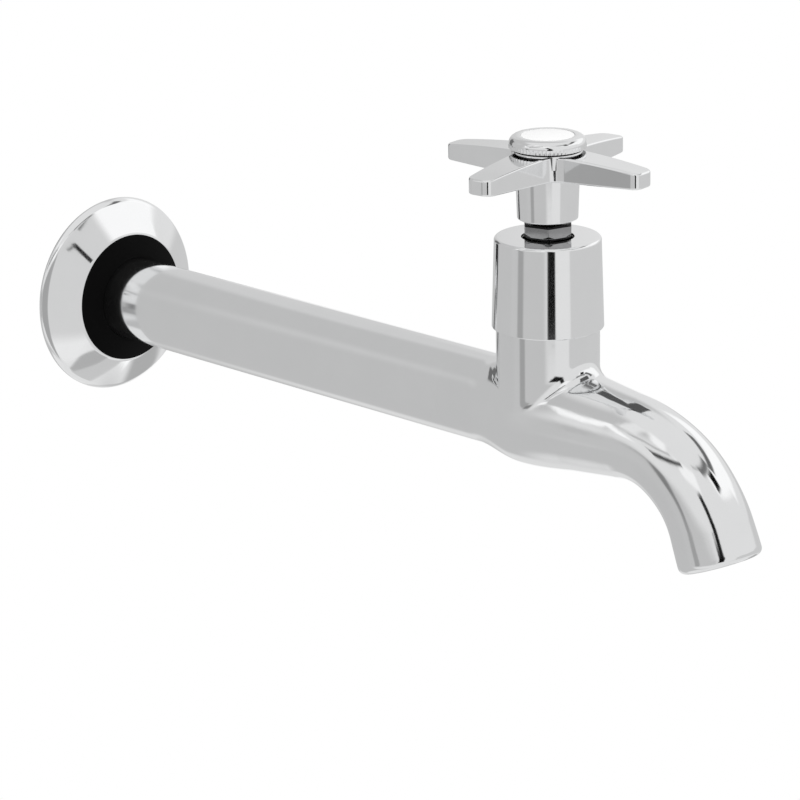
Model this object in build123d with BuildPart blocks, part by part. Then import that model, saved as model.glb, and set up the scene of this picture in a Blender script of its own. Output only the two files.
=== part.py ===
# Wall tap with a long round barrel, a cast body with a downturned spout, a jumper-valve headwork
# and a four-armed handle. All sizes are in millimetres. The origin is on the barrel's axis in the
# plane of the wall, +X runs out of the wall along the barrel, and +Z is up.

import os
from math import cos, radians, sin, sqrt

from build123d import *

# Fits between pieces
screwed_gap = 0.05  # radial gap of pieces screwed or pushed together for good
running_gap = 0.07  # radial gap of pieces that slide or turn in each other
resting_gap = 0.05  # gap under the spindle where it stands on the valve plate

# Barrel and inlet tail
reach = 176.0  # wall to the spindle's axis
barrel_radius = 12.0
barrel_wall = 1.5
stub_length = 30.0  # part of the run that belongs to the casting, behind the spindle's axis
spigot_length = 12.0  # how far the casting and the tail reach into the barrel
tail_thread_radius = 20.955 / 2  # half-inch pipe thread, over its crests
tail_length = 15.0
tail_bore = 7.5
tail_chamfer = 1.0
collar_length = 2.5
collar_step = 0.4  # how much smaller the collar is than the barrel

# Casting: the belly under the valve, and the spout
belly_swell = 0.64  # how much wider the belly is than the neck
waist_radius = 10.5  # slimmest part of the spout, in the bend
outlet_radius = 11.1
belly_lead = 19.5  # distance from the axis to where the barrel begins to swell
belly_back = 4.0  # distance behind the axis to the widest section
waist_start = 46.5  # distance along the run from the widest section to the slim part
waist_end = 58.0  # and from the widest section to where it widens again
throat_reach = 14.0  # distance from the axis to where the spout leaves the belly
throat_rise = 0.55
section_step = 5.2  # distance between the sections of the run
spout_slope = 1.0  # degrees below level, where the spout leaves the belly
spout_run = 15.0  # straight part of the spout before the bend
bend_radius = 30.4
bend_angle = 67.4
nose_length = 8.9  # straight part of the spout after the bend
lip_round = 1.9

# Casting: the neck and the waterway
neck_radius = 13.56
neck_chamfer = 0.5
neck_height = 28.0
neck_bore = 10.25
blend_radius = 4.0
inlet_bore = 8.5
inlet_end = 15.0  # distance from the wide inlet bore's end to the spindle's axis
passage_radius = 4.8
passage_step = 0.3  # how far the passage stays above the foot of the wide inlet bore
passage_end = 3.5  # how far the passage runs past the spindle's axis
chamber_floor = 4.0
spout_bore = 7.4
spout_bore_start = 8.5
port_radius = 4.0
port_level = 8.3
port_end = 12.5
outlet_bore = 8.4
outlet_depth = 8.0

# Seat
seat_bore = 5.5
seat_thread_radius = 7.0
seat_thread_length = 2.0
seat_flange_radius = 8.0
seat_flange_height = 1.7
seat_rim_width = 1.3
seat_rim_height = 0.8

# Valve
valve_lift = 6.0
washer_radius = 7.3
washer_thickness = 3.0
plate_radius = 7.7
plate_thickness = 2.0
plate_lip = 0.9
jumper_stem_radius = 3.0
jumper_stem_length = 11.0
stud_radius = 2.0
jumper_nut_across = 7.0
jumper_nut_height = 2.1
stud_proud = 0.8

# Headwork
headwork_thread_length = 15.0
headwork_recess = 8.5
recess_room = 2.5  # room over the valve plate when it is fully open
washer_seal_height = 1.5
washer_seal_radius = 12.6
hexagon_across = 22.0
hexagon_height = 7.0
upper_radius = 9.0
spindle_thread_radius = 6.0
spindle_radius = 3.75
web_thickness = 1.4
stop_room = 0.5
packing_height = 2.4
gland_washer_height = 0.8
gland_plug_length = 1.7
gland_plug_radius = 5.2
gland_nut_across = 12.0
gland_nut_chamfer = 0.7
gland_nut_turn = 15.0  # degrees that a corner stands away from the +X side
gland_nut_show = 4.0  # height of the nut over the top of the shroud

# Shroud and the rubber ring that holds it
shroud_overlap = 3.8
shroud_height = 24.0
shroud_wall = 0.89
shroud_gap = 0.2
shroud_draw = 0.71  # how much smaller its radius is at the top
shroud_hole = 6.9
shroud_foot_edge = 0.3
shroud_edge = 0.8
ring_section = 0.6  # radius of the rubber ring's section
ring_level = 2.0  # height of its centre over the shroud's foot

# Handle
handle_gap = 0.85  # air between the gland nut and the handle's skirt
skirt_foot_radius = 7.9
skirt_top_radius = 8.3
skirt_height = 11.25
skirt_bore = 4.1
skirt_shoulder = 1.45  # depth of the round bore before the square socket
skirt_edge = 0.4
square_across = 5.2
hub_height = 6.7  # thickness of the arms' crown at its middle
arm_count = 4
arm_reach = 30.4
arm_root_width = 11.6
arm_tip_width = 7.2
arm_tip_drop = 1.9  # how far the domed upper side falls from the middle to the tips
arm_tip_rise = 0.8  # how far the lower side rises from the skirt to the tips
arm_corner = 3.5
arm_tip_round = 1.6
arm_edge = 0.55
handle_turn = 7.5  # degrees that the first arm stands away from +X
boss_radius = 9.1
boss_height = 0.3
cap_thread_radius = 6.0
cap_socket_depth = 4.8
screw_web = 1.0

# Handle screw and its washer
screw_radius = 2.0
screw_length = 9.0
screw_head_radius = 3.4
screw_head_height = 2.0
slot_width = 0.9
slot_depth = 1.0
lock_washer_height = 0.6

# Screw cap with its inlay
cap_radius = 10.0
cap_seat_radius = 8.2
cap_seat_height = 0.5
cap_height = 3.2
cap_round = 2.0
cap_stem_length = 3.3
cap_hollow = 4.2
cap_hollow_depth = 2.0
knurl_count = 60
knurl_depth = 0.22
inlay_radius = 7.0
inlay_depth = 0.4

# Wall flange and its rubber ring
flange_radius = 28.8
flange_rim = 1.3
flange_rim_round = 1.6
flange_height = 8.4
flange_mouth = 18.8
flange_sheet = 1.0
flange_lip = 17.2
seal_back_length = 5.0  # thickness of the part of the ring behind the flange's lip
seal_back_radius = 18.2
seal_edge = 0.15  # how far the ring's front stays inside the flange's mouth
seal_front_edge = 0.3
seal_rise = 1.8  # how far the ring's own lip stands out of the flange
seal_lip_width = 0.7

# Levels and places that follow from the sizes above
barrel_bore = barrel_radius - barrel_wall
belly_radius = neck_radius + belly_swell
barrel_start = collar_length
barrel_end = reach - stub_length
passage_level = passage_radius + passage_step - inlet_bore
seat_foot = chamber_floor - seat_thread_length
seat_top = chamber_floor + seat_flange_height + seat_rim_height
plate_foot = seat_top + washer_thickness
plate_top = plate_foot + plate_thickness
spindle_foot = plate_top + resting_gap
headwork_foot = neck_height - headwork_thread_length
recess_top = plate_top + valve_lift + recess_room
hexagon_foot = neck_height + washer_seal_height
hexagon_top = hexagon_foot + hexagon_height
shroud_foot = neck_height - shroud_overlap
shroud_top = shroud_foot + shroud_height
shroud_foot_radius = neck_radius + shroud_gap + shroud_wall
headwork_top = shroud_top - shroud_wall - 2 * shroud_gap
gland_plug_foot = headwork_top - gland_plug_length
gland_washer_foot = gland_plug_foot - gland_washer_height
gland_seat = gland_washer_foot - packing_height
stop_level = gland_seat - web_thickness
spindle_thread_top = stop_level - valve_lift - stop_room
gland_nut_top = shroud_top + gland_nut_show
handle_foot = gland_nut_top + handle_gap
socket_foot = handle_foot + skirt_shoulder
star_foot = handle_foot + skirt_height
star_top = star_foot + hub_height
dome_radius = (arm_reach**2 + arm_tip_drop**2) / (2 * arm_tip_drop)
cutter_reach = arm_reach + arm_tip_width / 2
cutter_drop = dome_radius - sqrt(dome_radius**2 - cutter_reach**2)
cutter_rise = arm_tip_rise * (cutter_reach - skirt_top_radius) / (arm_reach - skirt_top_radius)
boss_top = star_top + boss_height
cap_socket_floor = boss_top - cap_socket_depth
spindle_top = cap_socket_floor - 1.5 * screw_web
screw_head_foot = cap_socket_floor + lock_washer_height
cap_foot = boss_top + cap_seat_height
cap_top = cap_foot + cap_height
stem_foot = boss_top - cap_stem_length
groove_level = shroud_foot + ring_level
groove_half = ring_section + screwed_gap
shroud_inside = neck_radius + shroud_gap - shroud_draw * (ring_level + ring_section) / shroud_height
ring_radius = shroud_inside - screwed_gap - ring_section
groove_radius = ring_radius - ring_section
gland_nut_waist = shroud_top + 0.2 * gland_nut_show
seal_bore = barrel_radius + running_gap
seal_front = flange_height + seal_rise
groove_back = flange_height - flange_sheet
seal_back = groove_back - seal_back_length
flange_rim_drop = 0.45 * flange_sheet
flange_lip_turn = 0.3 * flange_sheet

# Axes and drawing planes. On the spindle's plane a point is (radius, height), and on the barrel's
# plane it is (distance from the wall, radius).
spindle_axis = Axis((reach, 0, 0), (0, 0, 1))
spindle_plane = Plane(origin=(reach, 0, 0), x_dir=(1, 0, 0), z_dir=(0, -1, 0))
barrel_axis = Axis((0, 0, 0), (1, 0, 0))
barrel_plane = Plane.XZ


def outline(plane, points):
    # A closed face through the points, drawn on the plane
    with BuildSketch(plane) as drawn:
        with BuildLine():
            Polyline(*points, close=True)
        make_face()
    return drawn.sketch


def level(height):
    # A level plane on the spindle's axis
    return Plane(origin=(reach, 0, height), x_dir=(1, 0, 0), z_dir=(0, 0, 1))


def handle_level(height):
    # The same, turned as the handle stands
    first_arm = (cos(radians(handle_turn)), sin(radians(handle_turn)), 0)
    return Plane(origin=(reach, 0, height), x_dir=first_arm, z_dir=(0, 0, 1))


def tube_outline(inner, outer, foot, top):
    # The half section of a round tube about the spindle's axis
    return outline(spindle_plane, [(inner, foot), (outer, foot), (outer, top), (inner, top)])


def save(part, name):
    part.label = name
    export_step(part, "parts/" + name + ".step")
    print(name, "volume", round(part.volume, 1))


os.makedirs("parts", exist_ok=True)

# The line that the casting follows: along the barrel, over the belly and down the spout
with BuildLine(Plane.XZ) as run_line:
    stub_line = Line((barrel_end, 0), (reach - belly_back, 0))
    throat_direction = (cos(radians(spout_slope)), -sin(radians(spout_slope)))
    belly_line = Spline(
        stub_line @ 1,
        (reach + throat_reach, throat_rise),
        tangents=[(1, 0), throat_direction],
    )
    spout_line = PolarLine(belly_line @ 1, spout_run, -spout_slope)
    bend_line = JernArc(spout_line @ 1, spout_line % 1, bend_radius, -bend_angle)
    nose_line = Line(bend_line @ 1, bend_line @ 1 + (bend_line % 1) * nose_length)

# The barrel, a plain tube between the tail and the casting
with BuildPart() as barrel_tube:
    revolve(
        outline(
            barrel_plane,
            [
                (barrel_start, barrel_bore),
                (barrel_start, barrel_radius),
                (barrel_end, barrel_radius),
                (barrel_end, barrel_bore),
            ],
        ),
        axis=barrel_axis,
    )
save(barrel_tube.part, "barrel_tube")

# The threaded tail, with a collar that stops at the wall fitting and a spigot in the barrel
spigot_radius = barrel_bore - screwed_gap
with BuildPart() as inlet_tail:
    revolve(
        outline(
            barrel_plane,
            [
                (-tail_length, tail_bore),
                (-tail_length, tail_thread_radius - tail_chamfer),
                (tail_chamfer - tail_length, tail_thread_radius),
                (0, tail_thread_radius),
                (0, barrel_radius - collar_step),
                (collar_length, barrel_radius - collar_step),
                (collar_length, spigot_radius),
                (collar_length + spigot_length, spigot_radius),
                (collar_length + spigot_length, tail_bore),
            ],
        ),
        axis=barrel_axis,
    )
save(inlet_tail.part, "inlet_tail")

run_parts = (stub_line, belly_line, spout_line, bend_line, nose_line)
run_length = sum(line.length for line in run_parts)


def ease(distance, start, end):
    # A smooth rise from 0 at the start to 1 at the end
    share = min(max((distance - start) / (end - start), 0), 1)
    return share * share * (3 - 2 * share)


def run_radius(distance):
    # Radius of the casting at a distance along the run
    widest = stub_length - belly_back
    swell = (belly_radius - barrel_radius) * ease(distance, stub_length - belly_lead, widest)
    narrowing = (belly_radius - waist_radius) * ease(distance, widest, widest + waist_start)
    flare = (outlet_radius - waist_radius) * ease(distance, widest + waist_end, run_length)
    return barrel_radius + swell - narrowing + flare


# The casting: run, neck, seat pocket and waterway
with BuildPart() as tap_body:
    line_start = 0
    for line in run_parts:
        steps = round(line.length / section_step)
        for step in range(steps + (line is nose_line)):
            place = step / steps
            with BuildSketch(Plane(origin=line @ place, x_dir=(0, 1, 0), z_dir=line % place)):
                Circle(run_radius(line_start + place * line.length))
        line_start += line.length
    loft()
    nose_face = tap_body.faces().sort_by(Axis.Z)[0]
    fillet(nose_face.outer_wire().edges(), lip_round)
    run_edges = tap_body.edges()
    with BuildSketch(level(0)):
        Circle(neck_radius)
    extrude(amount=neck_height)
    root_edges = (tap_body.edges() - run_edges).filter_by(GeomType.BSPLINE)
    fillet(root_edges, blend_radius)
    chamfer(tap_body.edges().group_by(Axis.Z)[-1], neck_chamfer)

    # Spigot in the barrel, then the wide bore and the passage under the seat
    with BuildSketch(Plane.YZ.offset(barrel_end - spigot_length)):
        Circle(spigot_radius)
    extrude(amount=spigot_length + inlet_end)
    with BuildSketch(Plane.YZ.offset(barrel_end - spigot_length)):
        Circle(inlet_bore)
    extrude(amount=spigot_length + stub_length - inlet_end, mode=Mode.SUBTRACT)
    with BuildSketch(Plane.YZ.offset(reach + passage_end)):
        with Locations((0, passage_level)):
            Circle(passage_radius)
    extrude(amount=-inlet_end - passage_end, mode=Mode.SUBTRACT)

    # Up through the seat into the chamber
    with BuildSketch(level(passage_level)):
        Circle(seat_bore)
    extrude(amount=chamber_floor - passage_level, mode=Mode.SUBTRACT)
    with BuildSketch(level(seat_foot)):
        Circle(seat_thread_radius + screwed_gap)
    extrude(amount=seat_thread_length, mode=Mode.SUBTRACT)
    with BuildSketch(level(chamber_floor)):
        Circle(neck_bore)
    extrude(amount=neck_height - chamber_floor, mode=Mode.SUBTRACT)

    # Out of the chamber and down the spout
    with BuildSketch(Plane.YZ.offset(reach + port_end)):
        with Locations((0, port_level)):
            Circle(port_radius)
    extrude(amount=-port_end, mode=Mode.SUBTRACT)
    with BuildLine(Plane.XZ) as bore_line:
        bore_start = belly_line @ 1 - (spout_line % 0) * (throat_reach - spout_bore_start)
        Line(bore_start, spout_line @ 1)
        add([bend_line, nose_line])
    with BuildSketch(Plane(origin=bore_start, x_dir=(0, 1, 0), z_dir=spout_line % 0)):
        Circle(spout_bore)
    sweep(path=bore_line.line, mode=Mode.SUBTRACT)
    with BuildSketch(Plane(origin=nose_line @ 1, x_dir=(0, 1, 0), z_dir=-(nose_line % 1))):
        Circle(outlet_bore)
    extrude(amount=outlet_depth, mode=Mode.SUBTRACT)

    # Groove for the rubber ring that holds the shroud
    revolve(
        tube_outline(
            groove_radius, neck_radius + blend_radius, groove_level - groove_half, groove_level + groove_half
        ),
        axis=spindle_axis,
        mode=Mode.SUBTRACT,
    )
save(tap_body.part, "tap_body")

# The seat, screwed into the floor of the chamber
with BuildPart() as seat_ring:
    revolve(
        outline(
            spindle_plane,
            [
                (seat_bore, seat_foot),
                (seat_thread_radius, seat_foot),
                (seat_thread_radius, chamber_floor),
                (seat_flange_radius, chamber_floor),
                (seat_flange_radius, seat_top - seat_rim_height),
                (seat_bore + seat_rim_width, seat_top - seat_rim_height),
                (seat_bore + seat_rim_width, seat_top),
                (seat_bore, seat_top),
            ],
        ),
        axis=spindle_axis,
    )
save(seat_ring.part, "seat_ring")

# The valve: a plate with a stem above and a stud below, its rubber washer and the nut on the stud
stud_foot = seat_top - jumper_nut_height - stud_proud
with BuildPart() as jumper:
    revolve(
        outline(
            spindle_plane,
            [
                (0, stud_foot),
                (stud_radius, stud_foot),
                (stud_radius, plate_foot),
                (plate_radius - plate_lip, plate_foot),
                (plate_radius, plate_foot + plate_lip),
                (plate_radius, plate_top),
                (jumper_stem_radius, plate_top),
                (jumper_stem_radius, plate_top + jumper_stem_length),
                (0, plate_top + jumper_stem_length),
            ],
        ),
        axis=spindle_axis,
    )
save(jumper.part, "jumper")

stud_hole = stud_radius + screwed_gap
with BuildPart() as jumper_washer:
    revolve(tube_outline(stud_hole, washer_radius, seat_top, plate_foot), axis=spindle_axis)
save(jumper_washer.part, "jumper_washer")

with BuildPart() as jumper_nut:
    with BuildSketch(level(seat_top - jumper_nut_height)):
        RegularPolygon(jumper_nut_across / 2, 6, major_radius=False)
        Circle(stud_hole, mode=Mode.SUBTRACT)
    extrude(amount=jumper_nut_height)
save(jumper_nut.part, "jumper_nut")

# The headwork: threaded foot, hexagon and the bush that carries the spindle
with BuildPart() as headwork_body:
    with BuildSketch(level(headwork_foot)):
        Circle(neck_bore - screwed_gap)
    extrude(amount=hexagon_foot - headwork_foot)
    with BuildSketch(level(hexagon_foot)):
        RegularPolygon(hexagon_across / 2, 6, major_radius=False)
    extrude(amount=hexagon_height)
    with BuildSketch(level(hexagon_top)):
        Circle(upper_radius)
    extrude(amount=headwork_top - hexagon_top)
    revolve(
        outline(
            spindle_plane,
            [
                (0, headwork_foot),
                (headwork_recess, headwork_foot),
                (headwork_recess, recess_top),
                (spindle_thread_radius + running_gap, recess_top),
                (spindle_thread_radius + running_gap, stop_level),
                (spindle_radius + running_gap, stop_level),
                (spindle_radius + running_gap, gland_seat),
                (gland_plug_radius + screwed_gap, gland_seat),
                (gland_plug_radius + screwed_gap, headwork_top),
                (0, headwork_top),
            ],
        ),
        axis=spindle_axis,
        mode=Mode.SUBTRACT,
    )
save(headwork_body.part, "headwork_body")

with BuildPart() as headwork_washer:
    revolve(tube_outline(neck_bore, washer_seal_radius, neck_height, hexagon_foot), axis=spindle_axis)
save(headwork_washer.part, "headwork_washer")

# The gland: packing, the ring on it, and the nut that presses them
with BuildPart() as gland_packing:
    revolve(
        tube_outline(spindle_radius + running_gap, gland_plug_radius, gland_seat, gland_washer_foot),
        axis=spindle_axis,
    )
save(gland_packing.part, "gland_packing")

with BuildPart() as gland_washer:
    revolve(
        tube_outline(spindle_radius + running_gap, gland_plug_radius, gland_washer_foot, gland_plug_foot),
        axis=spindle_axis,
    )
save(gland_washer.part, "gland_washer")

nut_corner = gland_nut_across / sqrt(3)
with BuildPart() as gland_nut:
    with BuildSketch(level(headwork_top)):
        RegularPolygon(gland_nut_across / 2, 6, major_radius=False, rotation=gland_nut_turn)
    extrude(amount=gland_nut_top - headwork_top)
    # Cone cuts that round the corners off above and below
    for edge, inward in ((gland_nut_top, -1), (gland_nut_waist, 1)):
        revolve(
            outline(
                spindle_plane,
                [
                    (nut_corner - gland_nut_chamfer, edge),
                    (nut_corner + gland_nut_chamfer, edge),
                    (nut_corner + gland_nut_chamfer, edge + 2 * inward * gland_nut_chamfer),
                ],
            ),
            axis=spindle_axis,
            mode=Mode.SUBTRACT,
        )
    revolve(
        tube_outline(
            nut_corner - gland_nut_chamfer, nut_corner + gland_nut_chamfer, headwork_top, gland_nut_waist
        ),
        axis=spindle_axis,
        mode=Mode.SUBTRACT,
    )
    revolve(tube_outline(0, gland_plug_radius, gland_plug_foot, headwork_top), axis=spindle_axis)
    revolve(
        tube_outline(0, spindle_radius + running_gap, gland_plug_foot, gland_nut_top),
        axis=spindle_axis,
        mode=Mode.SUBTRACT,
    )
save(gland_nut.part, "gland_nut")

# The shroud, a drawn cup that hides the headwork, and its rubber ring
shroud_top_radius = shroud_foot_radius - shroud_draw
with BuildPart() as shroud:
    revolve(
        outline(
            spindle_plane,
            [
                (shroud_foot_radius - shroud_wall, shroud_foot),
                (shroud_foot_radius, shroud_foot),
                (shroud_top_radius, shroud_top),
                (shroud_hole, shroud_top),
                (shroud_hole, shroud_top - shroud_wall),
                (shroud_top_radius - shroud_wall, shroud_top - shroud_wall),
            ],
        ),
        axis=spindle_axis,
    )
    fillet(shroud.edges().group_by(Axis.Z)[-1].sort_by(SortBy.LENGTH)[-1], shroud_edge)
    fillet(shroud.edges().group_by(Axis.Z)[0].sort_by(SortBy.LENGTH)[-1], shroud_foot_edge)
save(shroud.part, "shroud")

with BuildPart() as shroud_ring:
    with BuildSketch(spindle_plane):
        with Locations((ring_radius, groove_level)):
            Circle(ring_section)
    revolve(axis=spindle_axis)
save(shroud_ring.part, "shroud_ring")

# The spindle: thread below, a smooth neck through the gland, and a square for the handle
with BuildPart() as spindle:
    revolve(
        outline(
            spindle_plane,
            [
                (0, spindle_foot),
                (spindle_thread_radius, spindle_foot),
                (spindle_thread_radius, spindle_thread_top),
                (spindle_radius, spindle_thread_top),
                (spindle_radius, socket_foot),
                (0, socket_foot),
            ],
        ),
        axis=spindle_axis,
    )
    with BuildSketch(handle_level(socket_foot)):
        Rectangle(square_across, square_across)
    extrude(amount=spindle_top - socket_foot)
    with BuildSketch(level(spindle_foot)):
        Circle(jumper_stem_radius + running_gap)
    extrude(amount=jumper_stem_length + 2 * stop_room, mode=Mode.SUBTRACT)
    with BuildSketch(level(spindle_top)):
        Circle(screw_radius)
    extrude(amount=-screw_length, mode=Mode.SUBTRACT)
save(spindle.part, "spindle")

# The handle: four tapering arms on a round skirt, and the boss that takes the cap
with BuildPart() as star_handle:
    with BuildSketch(handle_level(star_foot)) as star_plan:
        with PolarLocations(0, arm_count):
            Polygon(
                (0, arm_root_width / 2),
                (arm_reach, arm_tip_width / 2),
                (arm_reach, -arm_tip_width / 2),
                (0, -arm_root_width / 2),
                align=None,
            )
        half_way = 0.6 * arm_reach
        tips = star_plan.vertices().filter_by(lambda v: v.center().length > half_way)
        fillet(tips, arm_tip_round)
        roots = star_plan.vertices().filter_by(lambda v: v.center().length < half_way)
        fillet(roots, arm_corner)
    extrude(amount=hub_height)
    # The upper side is a shallow dome, and the lower side rises from the skirt to the tips
    with BuildSketch(spindle_plane):
        with BuildLine():
            dome = RadiusArc((0, star_top), (cutter_reach, star_top - cutter_drop), dome_radius)
            Polyline(dome @ 1, (cutter_reach, star_top + arm_edge), (0, star_top + arm_edge), dome @ 0)
        make_face()
    revolve(axis=spindle_axis, mode=Mode.SUBTRACT)
    revolve(
        outline(
            spindle_plane,
            [
                (skirt_top_radius, star_foot),
                (cutter_reach, star_foot),
                (cutter_reach, star_foot + cutter_rise),
            ],
        ),
        axis=spindle_axis,
        mode=Mode.SUBTRACT,
    )
    arm_sides = star_handle.faces().filter_by(lambda face: abs(face.normal_at().Z) < 0.001)
    fillet(arm_sides.edges() - arm_sides.edges().filter_by(Axis.Z), arm_edge)
    # Skirt and boss
    revolve(
        outline(
            spindle_plane,
            [
                (0, handle_foot),
                (skirt_foot_radius - skirt_edge, handle_foot),
                (skirt_foot_radius, handle_foot + skirt_edge),
                (skirt_top_radius, star_foot),
                (skirt_top_radius, star_foot + hub_height / 2),
                (boss_radius, star_foot + hub_height / 2),
                (boss_radius, boss_top),
                (0, boss_top),
            ],
        ),
        axis=spindle_axis,
    )
    # Round bore, square socket, screw hole and the threaded socket for the cap
    with BuildSketch(level(handle_foot)):
        Circle(skirt_bore)
    extrude(amount=skirt_shoulder, mode=Mode.SUBTRACT)
    with BuildSketch(handle_level(socket_foot)):
        Rectangle(square_across + 2 * screwed_gap, square_across + 2 * screwed_gap)
    extrude(amount=cap_socket_floor - screw_web - socket_foot, mode=Mode.SUBTRACT)
    with BuildSketch(level(socket_foot)):
        Circle(screw_radius + screwed_gap)
    extrude(amount=boss_top - socket_foot, mode=Mode.SUBTRACT)
    with BuildSketch(level(cap_socket_floor)):
        Circle(cap_thread_radius)
    extrude(amount=cap_socket_depth, mode=Mode.SUBTRACT)
save(star_handle.part, "star_handle")

with BuildPart() as handle_lock_washer:
    revolve(
        tube_outline(screw_radius + screwed_gap, screw_head_radius, cap_socket_floor, screw_head_foot),
        axis=spindle_axis,
    )
save(handle_lock_washer.part, "handle_lock_washer")

shank_radius = screw_radius - screwed_gap
with BuildPart() as handle_screw:
    revolve(
        outline(
            spindle_plane,
            [
                (0, spindle_top - screw_length + stop_room),
                (shank_radius, spindle_top - screw_length + stop_room),
                (shank_radius, screw_head_foot),
                (screw_head_radius, screw_head_foot),
                (screw_head_radius, screw_head_foot + screw_head_height),
                (0, screw_head_foot + screw_head_height),
            ],
        ),
        axis=spindle_axis,
    )
    with BuildSketch(handle_level(screw_head_foot + screw_head_height)):
        Rectangle(3 * screw_head_radius, slot_width)
    extrude(amount=-slot_depth, mode=Mode.SUBTRACT)
save(handle_screw.part, "handle_screw")

# The screw cap: a hollow stem in the boss, a knurled band and a rounded edge round the inlay
knurl_reach = cap_radius - knurl_depth
with BuildPart() as index_button:
    revolve(
        outline(
            spindle_plane,
            [
                (cap_hollow, stem_foot),
                (cap_thread_radius - screwed_gap, stem_foot),
                (cap_thread_radius - screwed_gap, boss_top),
                (cap_seat_radius, boss_top),
                (cap_seat_radius, cap_foot),
                (cap_radius, cap_foot),
                (cap_radius, cap_top),
                (inlay_radius, cap_top),
                (inlay_radius, cap_top - inlay_depth),
                (0, cap_top - inlay_depth),
                (0, stem_foot + cap_hollow_depth),
                (cap_hollow, stem_foot + cap_hollow_depth),
            ],
        ),
        axis=spindle_axis,
    )
    fillet(index_button.edges().group_by(Axis.Z)[-1].sort_by(SortBy.LENGTH)[-1], cap_round)
    with BuildSketch(level(cap_foot)):
        with PolarLocations(cap_radius, knurl_count):
            RegularPolygon(2 * knurl_depth, 3, rotation=180)
    extrude(amount=cap_height - cap_round, mode=Mode.SUBTRACT)
save(index_button.part, "index_button")

with BuildPart() as button_inlay:
    revolve(
        tube_outline(0, inlay_radius - screwed_gap, cap_top - inlay_depth, cap_top - screwed_gap),
        axis=spindle_axis,
    )
save(button_inlay.part, "button_inlay")

# The wall flange: a sheet dish with a rounded rim and an open mouth round the barrel
with BuildPart() as wall_flange:
    with BuildSketch(barrel_plane):
        with BuildLine():
            Polyline(
                (0, flange_radius),
                (flange_rim, flange_radius),
                (flange_height, flange_mouth),
                (flange_height, flange_lip),
                (flange_height - flange_sheet, flange_lip),
                (flange_height - flange_sheet, flange_mouth - flange_lip_turn),
                (flange_rim - flange_rim_drop, flange_radius - flange_sheet),
                (0, flange_radius - flange_sheet),
                close=True,
            )
        make_face()
    revolve(axis=barrel_axis)
    rim_circles = wall_flange.edges().filter_by(GeomType.CIRCLE)
    outer_rim = rim_circles.filter_by(lambda edge: abs(edge.radius - flange_radius) < 0.001)
    fillet(outer_rim.sort_by(Axis.X)[-1], flange_rim_round)
save(wall_flange.part, "wall_flange")

# The rubber ring: gripped by the lip of the flange, with a thin lip of its own on the barrel
with BuildPart() as flange_seal:
    revolve(
        outline(
            barrel_plane,
            [
                (seal_back, seal_bore),
                (seal_back, seal_back_radius),
                (groove_back, seal_back_radius),
                (groove_back, flange_lip - screwed_gap),
                (flange_height, flange_lip - screwed_gap),
                (flange_height, flange_mouth - seal_edge),
                (flange_height + seal_front_edge, flange_mouth - seal_edge),
                (seal_front, seal_bore + seal_lip_width),
                (seal_front, seal_bore),
            ],
        ),
        axis=barrel_axis,
    )
save(flange_seal.part, "flange_seal")
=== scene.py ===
import math

import bmesh
import bpy
import numpy as np
from mathutils import Matrix, Vector


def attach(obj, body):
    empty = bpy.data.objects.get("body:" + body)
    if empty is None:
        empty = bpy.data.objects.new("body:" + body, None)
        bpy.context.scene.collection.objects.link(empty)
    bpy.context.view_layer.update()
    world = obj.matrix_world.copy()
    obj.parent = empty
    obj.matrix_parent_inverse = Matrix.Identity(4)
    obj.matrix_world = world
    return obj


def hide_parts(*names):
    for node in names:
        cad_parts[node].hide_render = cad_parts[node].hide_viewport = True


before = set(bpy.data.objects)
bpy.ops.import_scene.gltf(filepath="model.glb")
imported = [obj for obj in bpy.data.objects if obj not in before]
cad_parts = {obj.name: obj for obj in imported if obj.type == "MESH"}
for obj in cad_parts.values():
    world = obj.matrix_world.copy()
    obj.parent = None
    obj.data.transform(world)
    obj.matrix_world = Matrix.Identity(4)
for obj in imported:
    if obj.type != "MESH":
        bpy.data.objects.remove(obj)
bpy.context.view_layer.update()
scene = bpy.context.scene
scene.view_settings.view_transform = "Standard"

mm = 0.001
close = 0.01  # mm, nearer than which two measures count as the same
past = 1.0  # mm by which a cutter or a joint runs past the face that it crosses
weld = 0.0002 * mm  # vertices nearer than this become one
spindleX = 176.0  # the spindle's axis, from the wall
barrelAxis = Vector((1, 0, 0))
spindleAxis = Vector((0, 0, 1))


# shared tools

def shadeByAngle(bm, creaseAngle):
    # smooth faces, with a hard line wherever two of them meet at more than the angle
    for face in bm.faces:
        face.smooth = True
    for edge in bm.edges:
        edge.smooth = not (edge.is_manifold and edge.calc_face_angle(0) > math.radians(creaseAngle))


def makeObject(name, bm, creaseAngle=35):
    bmesh.ops.remove_doubles(bm, verts=bm.verts, dist=weld)
    bmesh.ops.recalc_face_normals(bm, faces=bm.faces)
    shadeByAngle(bm, creaseAngle)
    mesh = bpy.data.meshes.new(name)
    bm.to_mesh(mesh)
    bm.free()
    piece = bpy.data.objects.new(name, mesh)
    scene.collection.objects.link(piece)
    return piece


def dress(piece, body, material, node):
    # the piece's finish, the body it moves with, and the solid it stands for
    piece.data.materials.clear()
    piece.data.materials.append(material)
    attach(piece, body)
    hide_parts(node)
    print("made", piece.name, len(piece.data.polygons), "faces")


def applyModifier(piece, kind, creaseAngle, **settings):
    # a modifier worked out at once, so that what is kept is a plain mesh
    modifier = piece.modifiers.new(kind.title(), kind)
    for key, value in settings.items():
        setattr(modifier, key, value)
    bpy.context.view_layer.update()
    worked = bpy.data.meshes.new_from_object(piece.evaluated_get(bpy.context.evaluated_depsgraph_get()))
    piece.modifiers.clear()
    piece.data = worked
    bm = bmesh.new()
    bm.from_mesh(worked)
    shadeByAngle(bm, creaseAngle)
    bm.to_mesh(worked)
    bm.free()


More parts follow.
